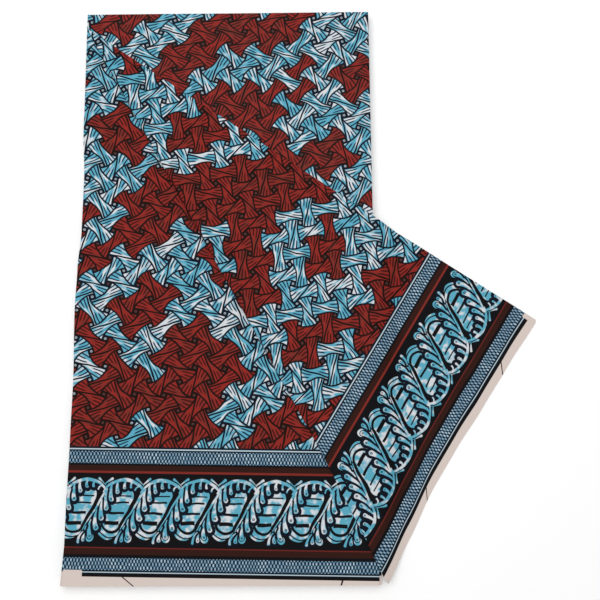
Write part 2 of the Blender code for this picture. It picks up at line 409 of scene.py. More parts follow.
def number_setting(name, description, default, **more):
    """A number from zero up that a user can change."""
    return FloatProperty(name=name, description=description, default=default, min=0.0, **more)


def length_setting(name, description, default):
    """A size in metres that a user can change."""
    return number_setting(name, description, default, precision=5, unit="LENGTH")


def share_setting(name, description, default, high=1.0):
    """A share that a user can change."""
    return number_setting(name, description, default, max=high, subtype="FACTOR")


class CottonClothSettings(bpy.types.PropertyGroup):
    """Sizes of the cloth itself and of its folds."""

    thickness: length_setting("Thickness", "Thickness of the cloth in the layers that show", 0.00026)
    hidden_thickness: length_setting("Hidden thickness", "Thickness of the pressed hidden layers", 0.0002)
    wave_height: length_setting("Wave height", "How high the layers' long low waves lift them", 0.00035)
    weave_depth: length_setting("Weave depth", "Depth of the threads' unevenness", 0.00003)
    crease_share: share_setting("Crease share", "Depth of the soft creases, as a share", 1.0, 2.0)
    hidden_panels: IntProperty(
        name="Hidden panels",
        description="How many times the doubled length goes to and fro under the top two layers",
        default=17,
        min=3,
        max=17,
    )


class CottonPrintSettings(bpy.types.PropertyGroup):
    """Sizes and colours of the print."""

    float_pitch: length_setting("Float pitch", "Step of the field's basket weave", 0.0202)
    leaf_pitch: length_setting("Leaf pitch", "Length of one repeat of the border's leaf", 0.0364)
    net_pitch: length_setting("Net pitch", "Step of the ovals in the border's net", 0.0032)
    pinwheel_turn: FloatProperty(
        name="Pinwheel turn",
        description="How far each float of the basket weave is turned off its lattice",
        default=math.radians(4),
        subtype="ANGLE",
    )
    reverse_fade: share_setting("Reverse fade", "How much paler the cloth's wrong side is", 0.004)
    red: colour_setting("Red", "Main red of the field", 140, 38, 32)
    dull_red: colour_setting("Dull red", "Second red of the field's rays", 110, 43, 35)
    wine: colour_setting("Wine", "Strokes in the red floats", 60, 12, 11)
    umber: colour_setting("Umber", "Outlines of the red floats", 28, 9, 6)
    dot: colour_setting("Dot", "Dots between the red floats", 92, 60, 54)
    pale_dot: colour_setting("Pale dot", "Dots between the blue floats", 168, 182, 192)
    white: colour_setting("White", "Undyed cloth inside the print", 211, 215, 219)
    sky: colour_setting("Sky blue", "Blue of the floats and leaves", 90, 166, 189)
    teal: colour_setting("Teal", "Strokes in the blue floats", 14, 44, 66)
    navy: colour_setting("Navy", "Outlines of the blue floats, and thin lines", 7, 16, 30)
    black: colour_setting("Black", "Ground of the borders", 9, 8, 12)
    brown: colour_setting("Brown", "Brown stripes of the borders", 54, 23, 15)
    line: colour_setting("Red line", "Inner red line of each border", 124, 40, 33)
    low_line: colour_setting("Outer red line", "Outer red line of each border", 102, 33, 28)
    net_dark: colour_setting("Net dark", "Ovals of the net", 12, 28, 50)
    net_light: colour_setting("Net blue", "Blue links of the net", 60, 104, 130)
    net_pale: colour_setting("Net pale", "Pale links of the net, and pale lines", 182, 202, 212)
    selvedge: colour_setting("Selvedge", "The unprinted edge of the cloth", 214, 200, 192)


class CottonStudioSettings(bpy.types.PropertyGroup):
    """The floor, the light and the camera."""

    floor: colour_setting("Floor", "Colour of the floor", 247, 247, 247)
    floor_glow: number_setting("Floor glow", "How brightly the floor shines, as a lit table does", 0.12)
    lamp_power: number_setting("Lamp power", "Power of the soft lamp over the cloth, in watts", 17.0)
    room_light: number_setting("Room light", "Strength of the even light from all sides", 0.52)
    lens: number_setting("Lens", "Focal length of the camera, in millimetres", 45.6)


class Wire:
    """A shader socket that Python arithmetic can use: each operation adds its node."""

    def __init__(self, tree, socket=None):
        self.tree = tree
        self.socket = socket

    def node(self, kind, settings=None, values=None, output=0):
        """Add any node: its settings first, then the values or links of its sockets."""
        made = self.tree.nodes.new(kind)
        for name, setting in (settings or {}).items():
            setattr(made, name, setting)
        for name, value in (values or {}).items():
            if isinstance(value, Wire):
                self.tree.links.new(value.socket, made.inputs[name])
            else:
                made.inputs[name].default_value = value
        return Wire(self.tree, made.outputs[output])

    def maths(self, operation, *others, clamp=False):
        """One Math node on this value and up to two others."""
        values = dict(enumerate((self,) + others))
        return self.node("ShaderNodeMath", {"operation": operation, "use_clamp": clamp}, values)

    def vector(self, operation, *others, output="Vector"):
        """One Vector Math node on this vector and others."""
        values = dict(enumerate((self,) + others))
        return self.node("ShaderNodeVectorMath", {"operation": operation}, values, output)

    def __add__(self, other):
        return self.maths("ADD", other)

    __radd__ = __add__

    def __sub__(self, other):
        return self.maths("SUBTRACT", other)

    def __rsub__(self, other):
        return self.node("ShaderNodeMath", {"operation": "SUBTRACT"}, {0: other, 1: self})

    def __mul__(self, other):
        return self.maths("MULTIPLY", other)

    __rmul__ = __mul__

    def __truediv__(self, other):
        return self.maths("DIVIDE", other)

    def __rtruediv__(self, other):
        return self.node("ShaderNodeMath", {"operation": "DIVIDE"}, {0: other, 1: self})

    def __abs__(self):
        return self.maths("ABSOLUTE")

    def rises(self, place, blur=EDGE):
        """A mask that goes from 0 to 1 where this value passes a place."""
        return self.maths("MULTIPLY_ADD", 1.0 / blur, 0.5 - place / blur, clamp=True)

    def falls(self, place, blur=EDGE):
        """A mask that goes from 1 to 0 where this value passes a place."""
        return self.maths("MULTIPLY_ADD", -1.0 / blur, 0.5 + place / blur, clamp=True)

    def between(self, first, second):
        """This value as a share of the way from one value to another."""
        return self.node("ShaderNodeMix", {"data_type": "FLOAT"}, {0: self, 2: first, 3: second}, 0)

    def colour(self, first, second):
        """This value as a share of the way from one colour to another."""
        return self.node("ShaderNodeMix", {"data_type": "RGBA"}, {0: self, 6: first, 7: second}, 2)

    def times(self, direction):
        """A direction in the plane, as long as this value makes it."""
        values = {0: (*direction, 0.0), "Scale": self}
        return self.node("ShaderNodeVectorMath", {"operation": "SCALE"}, values)

    def dot(self, direction):
        """How far this point lies along a direction."""
        return self.vector("DOT_PRODUCT", (*direction, 0.0), output="Value")

    def distance(self, place):
        """How far this point lies from a place."""
        return self.vector("DISTANCE", (*place, 0.0), output="Value")

    def point(self, first, second, third=0.0):
        """A point of three values."""
        return self.node("ShaderNodeCombineXYZ", None, {0: first, 1: second, 2: third})

    def mottle(self, size, detail=1.0, seed=0.0):
        """Soft noise from 0 to 1 at this point, with patches of a size."""
        values = {"Vector": self, "W": seed, "Scale": 1.0 / size, "Detail": detail}
        return self.node("ShaderNodeTexNoise", {"noise_dimensions": "4D"}, values, "Fac")


def basket_field(cloth, prints):
    """The field: a basket weave of bow-tie floats, each of two fans, in red and patches of blue."""
    pitch = prints.float_pitch / MILLIMETRE
    across, up = (
        cloth.dot((math.cos(turn) / pitch, math.sin(turn) / pitch)) for turn in FIELD_TURNS
    )

    def turned(column, row, parity):
        """A place along and across the float of a lattice cell: its neighbours lie crosswise."""
        cos_turn, sin_turn = math.cos(prints.pinwheel_turn), math.sin(prints.pinwheel_turn)
        cosine = parity.maths("MULTIPLY_ADD", -sin_turn - cos_turn, cos_turn)
        sine = parity.maths("MULTIPLY_ADD", cos_turn - sin_turn, sin_turn)
        x = across - column
        y = up - row
        return (x * cosine) + (y * sine), (y * cosine) - (x * sine)

    def inside(along, side):
        """How far inside a float's long sides a place is: they flare towards the holes."""
        half_width = (along * along).maths("MULTIPLY_ADD", FLOAT_FLARE, FLOAT_HALF_WAIST)
        lean = along * side.maths("SIGN")
        return lean.maths("MULTIPLY_ADD", -FLOAT_LEAN, half_width) - abs(side)

    column = across.maths("ROUND")
    row = up.maths("ROUND")
    parity = (column + row).maths("FLOORED_MODULO", 2.0)
    own_along, own_side = turned(column, row, parity)
    own = inside(own_along, own_side)
    beyond = own.maths("LESS_THAN", 0.0)
    step = beyond * own_side.maths("SIGN")
    sideways = step * parity
    column = column - sideways
    row = row + (step - sideways)
    parity = abs(parity - beyond)
    along, side = turned(column, row, parity)

    cell = across.point(column, row)
    any_of = {"noise_dimensions": "2D"}
    chance = cell.node("ShaderNodeTexWhiteNoise", any_of, {"Vector": cell}, "Value")
    margin = inside(along, side).maths("MINIMUM", abs(own))

    side = side * chance.maths("GREATER_THAN", 0.5).maths("MULTIPLY_ADD", 2.0, -1.0)
    slope = FLOAT_HALF_END / FLOAT_HALF_LENGTH
    past_cut = along.maths("MULTIPLY_ADD", -slope, side)
    half = past_cut.maths("SIGN")
    from_apex = FLOAT_HALF_LENGTH - (along * half)
    spread = (FLOAT_HALF_END - side * half) / from_apex
    ray = spread * (FAN_RAYS / slope)
    off_ray = ray.maths("MAXIMUM", 0.5).maths("PINGPONG", 0.5) * from_apex * (slope / FAN_RAYS)
    long_ray = ray.maths("ROUND").maths("PINGPONG", 1.0)
    reach = from_apex - long_ray.between(STROKE_START, LONG_STROKE_START)
    half_width = (reach * STROKE_TAPER).maths("MINIMUM", STROKE_HALF)
    stroke = (off_ray - half_width).falls(0.0, STROKE_BLUR)

    blue = blue_patches(cell)
    streak = across.point(ray, from_apex * STREAK_SQUEEZE, chance * 40.0).mottle(STREAK_SIZE)
    red_fill = streak.rises(*RED_STREAKS).colour(prints.red, prints.dull_red)
    blue_fill = streak.rises(*BLUE_STREAKS).colour(prints.white, prints.sky)
    fill = blue.colour(red_fill, blue_fill)
    fill = stroke.colour(fill, blue.colour(prints.wine, prints.teal))
    line = abs(past_cut).falls(*FLOAT_CUT).maths("MAXIMUM", margin.falls(*FLOAT_OUTLINE))
    field = line.colour(fill, blue.colour(prints.umber, prints.navy))

    hole = across.point(across, up).vector("FRACTION").distance((0.5, 0.5))
    hole_cell = across.point(across.maths("FLOOR") + 0.5, up.maths("FLOOR") + 0.5)
    dot_ink = blue_patches(hole_cell).colour(prints.dot, prints.pale_dot)
    pale = hole.rises(HOLE_DOT_EYE, HOLE_BLUR) * hole.falls(HOLE_DOT, HOLE_BLUR)
    return pale.colour(field, dot_ink)


def blue_patches(cell):
    """Which floats are blue: rings and short chains of them, laid out by a rule of their own."""
    cell = cell.vector("ADD", PATCH_SHIFT)
    values = {"Vector": cell, "Scale": 1.0 / PATCH_PITCH, "Randomness": PATCH_UNEVENNESS}
    settings = {"voronoi_dimensions": "2D", "distance": "CHEBYCHEV"}
    ring = cell.node("ShaderNodeTexVoronoi", settings, values, "Distance") * PATCH_PITCH
    shown = ring.maths("GREATER_THAN", PATCH_RING[0]) * ring.maths("LESS_THAN", PATCH_RING[1])
    return shown * cell.mottle(PATCH_GAP_SIZE, 0.0, 7.0).maths("GREATER_THAN", PATCH_GAP_SHARE)


def bar(place, start, end, half_start, half_end, bend=0.0):
    """How far inside a tapering bar with round ends a place is. Its middle may bend to the left."""
    axis = Vector(end) - Vector(start)
    from_start = place.vector("SUBTRACT", (*start, 0.0))
    share = from_start.dot(axis / axis.length_squared).maths("ADD", 0.0, clamp=True)
    nearest = share.times(axis)
    if bend:
        left = Vector((-axis.y, axis.x)).normalized() * 4.0 * bend
        nearest = nearest.vector("ADD", (share * (1.0 - share)).times(left))
    away = from_start.vector("DISTANCE", nearest, output="Value")
    return share.maths("MULTIPLY_ADD", half_end - half_start, half_start) - away


def crescent(place, shape, blur=EDGE):
    """A mask of a crescent: a disc, less the disc that bites into it."""
    bitten = place.distance(shape.bite).rises(shape.bite_radius, blur)
    return place.distance(shape.middle).falls(shape.radius, blur) * bitten


def leaf_scroll(along, height, blotch, prints):
    """The running leaf on the border's black ground. Height is above the band's middle."""
    pitch = prints.leaf_pitch / MILLIMETRE
    height = height / LEAF_STRETCH + LEAF_RAISE
    slanted = along - height * math.tan(LEAF_SLANT) - LANE_LEFT
    lane = (slanted / pitch).maths("FLOOR")
    across_lane = along - lane * pitch
    place = along.point(across_lane, height)
    place = along.point(place.dot(LEAF_RIGHT), place.dot(LEAF_UP))
    up = place.dot((0.0, 1.0))
    pale = blotch.colour(prints.white, prints.sky)

    # Two crescents under the leaf's round end
    under = crescent(place, END_CRESCENT) * up.falls(*END_CRESCENT_TOP)
    colour = under.maths("MAXIMUM", crescent(place, LOW_CRESCENT)).colour(prints.black, pale)

    # The body with its rungs, and the stem that runs down its right side
    colour = bar(place, *BODY).rises(0.0).colour(colour, pale)
    for rung in RUNGS:
        level = abs(height - rung.height).falls(rung.half, FINE_EDGE)
        span = abs(across_lane - rung.middle).falls(rung.reach)
        colour = (level * span).colour(colour, prints.black)
    colour = bar(place, *STEM).rises(0.0).colour(colour, prints.black)

    # The scalloped shadow behind the heads of the drops, then the drops from the top down
    for drop in DROPS[SCALLOPED]:
        away = place.distance(Vector((drop.head_out, drop.head_up)) + SCALLOP_SHIFT)
        colour = away.falls(drop.radius + SCALLOP_MARGIN).colour(colour, prints.navy)
    for drop in DROPS:
        head = Vector((drop.head_out, drop.head_up))
        tail = head + Vector((drop.tail_out, drop.tail_up))
        inside = bar(place, head, tail, drop.radius, DROP_TIP, DROP_BEND)
        colour = inside.rises(-DROP_OUTLINE, FINE_EDGE).colour(colour, prints.navy)
        colour = inside.rises(0.0, FINE_EDGE).colour(colour, pale)
        if drop.radius > EYED_RADIUS:
            eye = place.distance(head)
            colour = eye.falls(drop.radius * EYE_RING, FINE_EDGE).colour(colour, prints.navy)
            colour = eye.falls(drop.radius * EYE_DOT, FINE_EDGE).colour(colour, pale)
    colour = crescent(place, CUP, FINE_EDGE).colour(colour, pale)

    # The tips outside the arch, then its smooth rim, a crescent over the drops' tails, with the
    # vein that runs down from it beside the last leaf's stem
    from_rim = place.distance(RIM.middle)
    upper = up.rises(*RIM_FOOT)
    colour = (from_rim.rises(RIM.radius) * upper).colour(colour, prints.black)
    outside = from_rim.rises(RIM.radius + RIM_GAP)
    for tip in RIM_TIPS:
        colour = (bar(place, *tip).rises(0.0) * outside).colour(colour, pale)
    rim = (crescent(place, RIM) * upper).maths("MAXIMUM", bar(place, *VEIN).rises(0.0))
    return rim.colour(colour, pale)


def printed_colour(start, prints, cut_end):
    """The whole print: the field, the borders and the selvedges, from a cut end in millimetres."""
    flat = start.node("ShaderNodeUVMap", {"uv_map": CLOTH_MAP}, None, "UV")
    place = flat.vector("MULTIPLY", (1.0 / MILLIMETRE, 1.0 / MILLIMETRE, 1.0))
    values = {"Vector": place, "Scale": 1.0 / SWAY_SIZE, "Detail": 1.0}
    sway = place.node("ShaderNodeTexNoise", {"noise_dimensions": "2D"}, values, "Color")
    sway = sway.vector("SUBTRACT", (0.5, 0.5, 0.5))
    cloth = sway.vector("MULTIPLY_ADD", (SWAY, SWAY, 0.0), place)
    along = cloth.dot((1.0, 0.0))
    across = cloth.dot((0.0, 1.0))
    true_along = abs(place.dot((1.0, 0.0)) - cut_end)
    true_across = place.dot((0.0, 1.0))
    width = CLOTH_WIDTH / MILLIMETRE
    second = true_across.rises(width / 2.0, 1.0)
    in_from_edge = true_across.maths("MINIMUM", width - true_across)
    blotch = cloth.mottle(BLOTCH_SIZE, 1.0, 3.0).rises(*BLOTCHES)
    colour = basket_field(cloth, prints)

    def wave(value, step):
        """A wave along a value, from -1 to 1, with a crest at each step."""
        return (value * (math.tau / step)).maths("COSINE")

    pitch = prints.net_pitch / MILLIMETRE
    oval = wave(along, pitch) * wave(across, 2.0 * pitch)
    net = oval.falls(*NET_OVALS).colour(prints.net_dark, prints.net_light)
    bright = oval.falls(*NET_LIGHTS) * blotch.between(1.0, 0.5)
    net = bright.colour(net, prints.net_pale)
    speck = wave(along, SPECK_STEPS[0]) * wave(across, SPECK_STEPS[1])
    brown = speck.rises(*SPECKS).colour(prints.brown, prints.black)
    patterns = {"net": net, "brown": brown}
    border = prints.selvedge
    for stripe in BORDER_STRIPES:
        filling = patterns[stripe.ink] if stripe.ink in patterns else getattr(prints, stripe.ink)
        border = in_from_edge.rises(stripe.start, FINE_EDGE).colour(border, filling)

    leaf_middle = LEAF_BAND_START + LEAF_BAND_HEIGHT / 2.0
    height = second.between(across - leaf_middle, across - (width - leaf_middle))
    phase = second.between(LEAF_PHASE, LEAF_PHASE_SECOND)
    scale = second.between(1.0, LEAF_SCALE_SECOND)
    leaves = leaf_scroll((along - phase) * scale, height, blotch, prints)
    border = abs(height).falls(LEAF_BAND_HEIGHT / 2.0, SOFT_EDGE).colour(border, leaves)

    # The outer lines stop short of the cut end, and a thin mark crosses the selvedge now and then
    bare_length = second.between(BARE_LENGTH, BARE_LENGTH_SECOND)
    bare = (true_along - bare_length).falls(0.0, SOFT_EDGE) * in_from_edge.falls(BARE_WIDTH)
    border = bare.colour(border, prints.selvedge)
    half_pitch = TIE_MARK_PITCH / 2.0
    for tie in TIE_MARKS:
        lean = in_from_edge * second.between(tie.lean, tie.lean_second)
        off = true_along + lean - second.between(tie.place, tie.place_second)
        off = abs((off + half_pitch).maths("FLOORED_MODULO", TIE_MARK_PITCH) - half_pitch)
        mark = off.falls(TIE_MARK_HALF, SOFT_EDGE) * in_from_edge.falls(TIE_MARK_REACH)
        border = mark.colour(border, prints.umber)
    return in_from_edge.rises(BORDER_WIDTH, FINE_EDGE).colour(border, colour), place


def printed_material(name, fade=0.0, cut_end=0.0):
    """Plain-woven cotton with its print, faded towards white by a share."""
    if name in bpy.data.materials:
        return bpy.data.materials[name]
    prints = bpy.context.scene.cotton_print
    sizes = bpy.context.scene.cotton_cloth
    material = bpy.data.materials.new(name)
    material.use_nodes = True
    tree = material.node_tree
    shader = tree.nodes["Principled BSDF"]
    colour, place = printed_colour(Wire(tree), prints, cut_end)
    if fade > 0.0:
        faded = {0: fade, 6: colour, 7: prints.white}
        colour = colour.node("ShaderNodeMix", {"data_type": "RGBA"}, faded, 2)
    tree.links.new(colour.socket, shader.inputs["Base Color"])
    threads = place.mottle(THREAD_SIZE, 1.0, 11.0)
    relief = {"Height": threads, "Strength": 0.5, "Distance": sizes.weave_depth}
    bump = threads.node("ShaderNodeBump", None, relief)
    tree.links.new(bump.socket, shader.inputs["Normal"])
    for name, value in FACE_FINISH.items():
        shader.inputs[name].default_value = value
    return material


def smooth(share):
    """Ease from 0 to 1 with level ends."""
    share = min(max(share, 0.0), 1.0)
    return share * share * (3.0 - 2.0 * share)


def read_table(table, place, column):
    """Read a column of a table at a place, easing from each row to the next."""
    if place <= table[0][0]:
        return getattr(table[0], column)
    for low, high in zip(table, table[1:]):
        if place <= high[0]:
            share = smooth((place - low[0]) / (high[0] - low[0]))
            first = getattr(low, column)
            return first + (getattr(high, column) - first) * share
    return getattr(table[-1], column)


def spaced(low, high, steps):
    """Even places from low to high, both ends included."""
    return [low + (high - low) * step / steps for step in range(steps + 1)]


def left_edge_x(y):
    """Where the cloth's cut end lies at a height up the pile."""
    return read_table(LEFT_EDGE, y, "shift")


def fold_share(x):
    """The share of the diagonal fold's length that lies above a place along X."""
    return min(max((x - FOLD_START.x) / (FOLD_END.x - FOLD_START.x), 0.0), 1.0)


def fold_radius(share):
    """The radius of the diagonal fold's soft roll."""
    return read_table(DIAGONAL_FOLD, share, "radius")


def fold_point(share):
    """A point of the diagonal fold's nose, seen from above."""
    bow = read_table(DIAGONAL_FOLD, share, "shift")
    return FOLD_START + FOLD_ALONG * (share * FOLD_LENGTH) + FOLD_ACROSS * bow


def bowed_edge_y(x, start, end, table, side):
    """Height of a flap edge that runs from start to end, bowed to one side by its table."""
    share = (x - start.x) / (end.x - start.x)
    bow = read_table(table, share, "shift") / abs((end - start).normalized().x)
    return start.y + (end.y - start.y) * share + side * bow


def cut_end_y(x):
    """The flap's cut end, its far edge."""
    return bowed_edge_y(x, FOLD_START, FLAP_FAR_CORNER, FLAP_CUT_END, -1.0)


def selvedge_y(x):
    """The flap's selvedge, its near edge past the diagonal fold."""
    return bowed_edge_y(x, FOLD_END, FLAP_FAR_CORNER, FLAP_SELVEDGE, 1.0)


def drop_to_table(height, x):
    """Lower a height on the flap where it leaves the pile and comes down to the table."""
    share = smooth((x - PILE_WIDTH) / FLAP_DROP_RUN)
    return height + (TABLE_Z - height) * share


def ripple(x, y):
    """How far the cloth lifts at a place: long low waves, with the creases pressed into them."""
    sizes = bpy.context.scene.cotton_cloth
    lift = sizes.wave_height
    for wave in WAVES:
        crest = noise.noise(Vector((x / wave.size_x, y / wave.size_y, wave.seed)))
        lift += sizes.wave_height * wave.share * crest
    place = Vector((x, y))
    for crease in CREASES:
        start = Vector((crease.from_x, crease.from_y))
        run = Vector((crease.to_x, crease.to_y)) - start
        share = min(max((place - start).dot(run) / run.length_squared, 0.0), 1.0)
        away = (place - start - run * share).length / crease.half_width
        fade = 4.0 * share * (1.0 - share)
        lift -= sizes.crease_share * crease.depth * fade * math.exp(-away * away)
    return max(lift, 0.0)


# The margin of the baked image, and the strip in it that holds a piece's rims
BAKE_MARGIN = 0.01
RIM_STRIP = (0.991, 0.998)


def inside_margin(share):
    """A share of the baked image's side, drawn in by the margin at both ends."""
    return BAKE_MARGIN + (1.0 - 2.0 * BAKE_MARGIN) * share


def add_cloth(name, columns, thickness, bake_place, material):
    """Cloth through a grid of knots, with both skins, its rims, and a UV map for each use."""
    count_a, count_b = len(columns), len(columns[0])
    half = thickness / 2.0
    points, knots = [], []
    for side in (1.0, -1.0):
        for i, column in enumerate(columns):
            for j, knot in enumerate(column):
                run_a = columns[min(i + 1, count_a - 1)][j].place - columns[max(i - 1, 0)][j].place
                run_b = column[min(j + 1, count_b - 1)].place - column[max(j - 1, 0)].place
                normal = run_a.cross(run_b).normalized()
                points.append(CORNER + knot.place + normal * (half * side))
                knots.append(knot)
    back = count_a * count_b
    faces, cloth_places, bake_places = [], [], []

    def add_face(corners, spots):
        faces.append(corners)
        cloth_places.extend(knots[corner].flat for corner in corners)
        bake_places.extend(spots)

    for i in range(count_a - 1):
        for j in range(count_b - 1):
            corner = i * count_b + j
            quad = [corner, corner + count_b, corner + count_b + 1, corner + 1]
            middle = sum((knots[c].spread for c in quad), Vector((0.0, 0.0))) / 4.0
            add_face(quad, [bake_place("face", middle, knots[c].spread) for c in quad])
            quad = [back + c for c in reversed(quad)]
            add_face(quad, [bake_place("back", middle, knots[c].spread) for c in quad])

    rim = list(range(count_b))
    rim += [i * count_b + count_b - 1 for i in range(1, count_a)]
    rim += [(count_a - 1) * count_b + j for j in range(count_b - 2, -1, -1)]
    rim += [i * count_b for i in range(count_a - 2, 0, -1)]
    for step, corner in enumerate(rim):
        after = rim[(step + 1) % len(rim)]
        low, high = inside_margin(step / len(rim)), inside_margin((step + 1) / len(rim))
        spots = [(low, RIM_STRIP[0]), (high, RIM_STRIP[0]), (high, RIM_STRIP[1]), (low, RIM_STRIP[1])]
        add_face([corner, after, back + after, back + corner], spots)

    mesh = bpy.data.meshes.new(name)
    mesh.from_pydata(points, [], faces)
    for map_name, places in ((CLOTH_MAP, cloth_places), (BAKE_MAP, bake_places)):
        layer = mesh.uv_layers.new(name=map_name)
        layer.uv.foreach_set("vector", [value for place in places for value in place])
    mesh.materials.append(material)
    mesh.shade_smooth()
    mesh.set_sharp_from_angle(angle=math.radians(50))
    mesh.validate()
    piece = bpy.data.objects.new(name, mesh)
    bpy.context.scene.collection.objects.link(piece)
    return piece


# A triangle of cloth fills a square image best with its tip laid back beside its base. What of it
# doesn't show lies small in two strips above
TRIANGLE_CUT = 0.290
TRIANGLE_SPAN = 0.328
TRIANGLE_TALL = 0.312
TRIANGLE_TIP = 0.601
SPREAD_MARGIN = 0.008
SPREAD_SIZE = (0.34, 0.62)
STRIPS_TOP = 0.985
STRIP_LENGTH = 0.48


def triangle_bake(face_share, shows=None):
    """Where a right triangle's skins go in the baked image: the face large, the rest small."""
    size = max(TRIANGLE_SPAN / (1.0 - 2.0 * BAKE_MARGIN), TRIANGLE_TALL / face_share)
    low = face_share + BAKE_MARGIN

    def bake_place(skin, middle, spot):
        x, y = spot.x + SPREAD_MARGIN, spot.y + SPREAD_MARGIN
        if skin == "face" and (shows is None or shows(middle)):
            if middle.y > TRIANGLE_CUT:
                x, y = TRIANGLE_SPAN - x, TRIANGLE_TIP - y
            return x / size, y / size
        left = BAKE_MARGIN + (0.0 if skin == "back" else 0.5)
        return left + STRIP_LENGTH * y / SPREAD_SIZE[1], low + (STRIPS_TOP - low) * x / SPREAD_SIZE[0]

    return bake_place


def lower_columns():
    """The layer under the topmost one, from the selvedge to just inside the long fold."""
    right, far = PILE_WIDTH - LOWER_INSET, PILE_LENGTH - LOWER_INSET
    columns = []
    for share in spaced(0.0, 1.0, LOWER_GRID[0]):
        column = []
        for y in spaced(0.0, far, LOWER_GRID[1]):
            x = left_edge_x(y) + (right - left_edge_x(y)) * share
            place = Vector((x, y, LOWER_LAYER_Z + ripple(x, y)))
            flat = (right * share, y + LOWER_ASKEW * (x - LOWER_ASKEW_FROM))
            column.append(Knot(place, flat, Vector((right * share, y))))
        columns.append(column)
    return columns


def shows_below_fold(middle):
    """Whether a place of the lower layer is left or just right of the diagonal fold."""
    return middle.x / FOLD_END.x + middle.y / FOLD_START.y < 1.03


def lip(share):
    """A folded edge: how far along the cloth, out and down it is, from its flat part to its tuck."""
    arc = math.pi * LIP_RADIUS
    travelled = share * (arc + LIP_TUCK)
    if travelled < arc:
        angle = travelled / LIP_RADIUS
        return travelled, LIP_RADIUS * math.sin(angle), LIP_RADIUS * (1.0 - math.cos(angle))
    return travelled, arc - travelled, 2.0 * LIP_RADIUS


def upper_columns():
    """The topmost layer right of the diagonal fold, folded under at its far and right edges."""
    arc_share = math.pi * LIP_RADIUS / (math.pi * LIP_RADIUS + LIP_TUCK)
    overs = spaced(0.0, arc_share, LIP_STEPS[0])[1:] + spaced(arc_share, 1.0, LIP_STEPS[1])[1:]
    starts = [Vector((0.0, fold_point(0.0).y + FOLD_GAP))]
    for x in spaced(FLAP_FIRST_X, UPPER_LAST_X, UPPER_GRID[0]):
        share = fold_share(x)
        starts.append(fold_point(share) + FOLD_ACROSS * fold_radius(share))
    places_x = [(start, 0.0) for start in starts] + [(starts[-1], over) for over in overs]
    places_y = [(share, 0.0) for share in spaced(0.0, 1.0, UPPER_GRID[1])]
    places_y += [(1.0, over) for over in overs]
    columns = []
    for start, over_x in places_x:
        column = []
        for share, over_y in places_y:
            y = start.y + (UPPER_FLAT_FAR - start.y) * share
            x = start.x + (left_edge_x(y) if start.x == 0.0 else 0.0)
            travelled, out, drop = lip(max(over_x, over_y))
            turn = 0.0
            if over_y > over_x:
                turn = math.pi / 2.0 - math.pi / 4.0 * over_x / over_y
            elif over_x > 0.0:
                turn = math.pi / 4.0 * over_y / over_x
            z = UPPER_LAYER_Z - drop + ripple(x, y)
            place = Vector((x + out * math.cos(turn), y + out * math.sin(turn), z))
            flat_x, flat_y = x + travelled * math.cos(turn), y + travelled * math.sin(turn)
            spread = Vector((PILE_WIDTH - flat_x, PILE_LENGTH - flat_y))
            column.append(Knot(place, (flat_x, CLOTH_WIDTH - flat_y), spread))
        columns.append(column)
    return columns


def edge_flat(x, on_selvedge):
    """The flat place of a point of the flap's free edges, as it was before it was turned back."""
    end, edge_y = (FOLD_END, selvedge_y) if on_selvedge else (FOLD_START, cut_end_y)
    from_corner = (FLAP_FAR_CORNER - Vector((x, edge_y(x)))).length
    return end * min(from_corner / (FLAP_FAR_CORNER - end).length, 1.0)


def true_print(x, y, flat):
    """Where a point of the turned corner is in the print, at its true scale by the selvedge."""
    from_tip = Vector((x, y)) - FLAP_FAR_CORNER
    along = from_tip.cross(CUT_END_RUN) / SELVEDGE_RUN.cross(CUT_END_RUN)
    straight = abs(from_tip.cross(SELVEDGE_RUN))
    bowed = (y - selvedge_y(x)) * abs(SELVEDGE_RUN.x)
    across = bowed + (straight - bowed) * smooth(straight / BOW_EASE)
    in_field = smooth((across - BORDER_WIDTH * MILLIMETRE) / FIELD_EASE)
    return Vector((along, across)).lerp(flat, in_field)


def turned_knot(place, height, flat, printed):
    """A knot of the turned corner, whose flat place is measured from its own corner."""
    lifted = drop_to_table(height, place.x) + ripple(place.x, place.y)
    return Knot(Vector((*place, lifted)), (printed.x, CLOTH_WIDTH - printed.y), flat)


